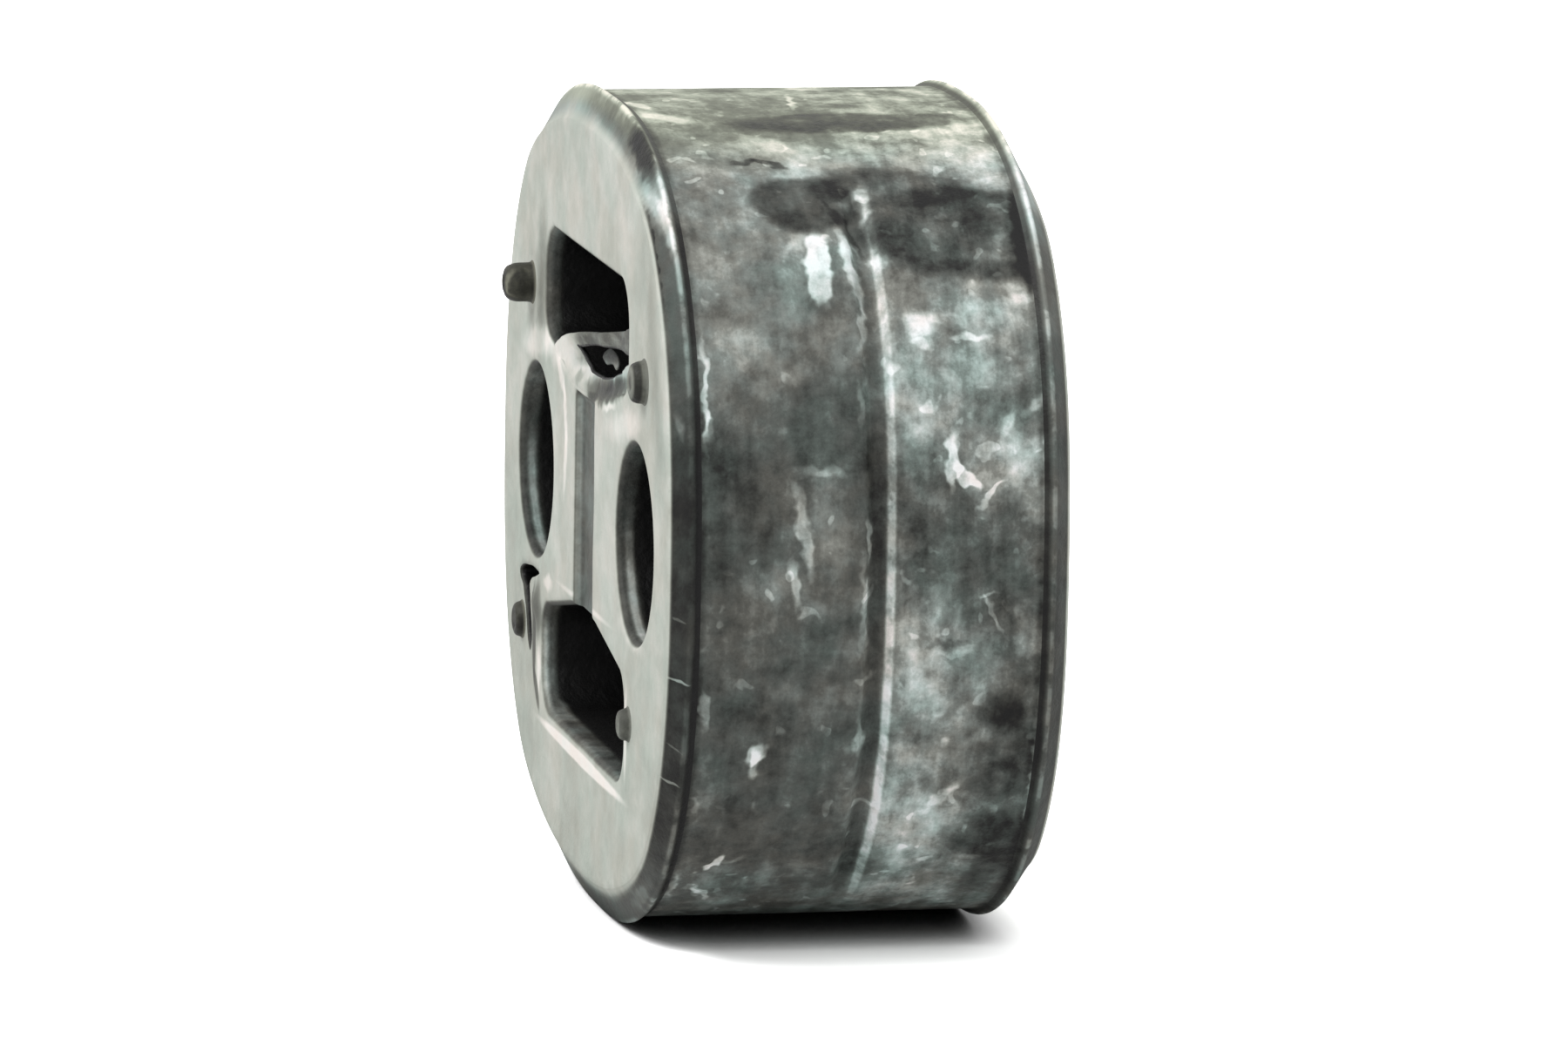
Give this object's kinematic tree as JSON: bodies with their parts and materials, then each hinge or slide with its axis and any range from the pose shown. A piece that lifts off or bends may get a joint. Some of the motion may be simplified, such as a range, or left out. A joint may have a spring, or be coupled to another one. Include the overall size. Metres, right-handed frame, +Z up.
{
  "type": "exhaust hanger rubber",
  "caption": "Oval moulded rubber block that hangs a car exhaust: round rod holes side by side, with rounded windows above and below the web between them.",
  "frame": {"origin": "under the middle of the block, on the surface that it stands on", "axes": "+X along the line of the two rod holes, +Y through the block from its front face to its back face, +Z up, across the windows"},
  "size_m": [0.062, 0.0284, 0.0548],
  "materials": {
    "rubber": "matt black rubber with a pale grey bloom and darker handling marks"
  },
  "bodies": {
    "root": {"rubber_block": "rubber"}
  },
  "joints": []
}
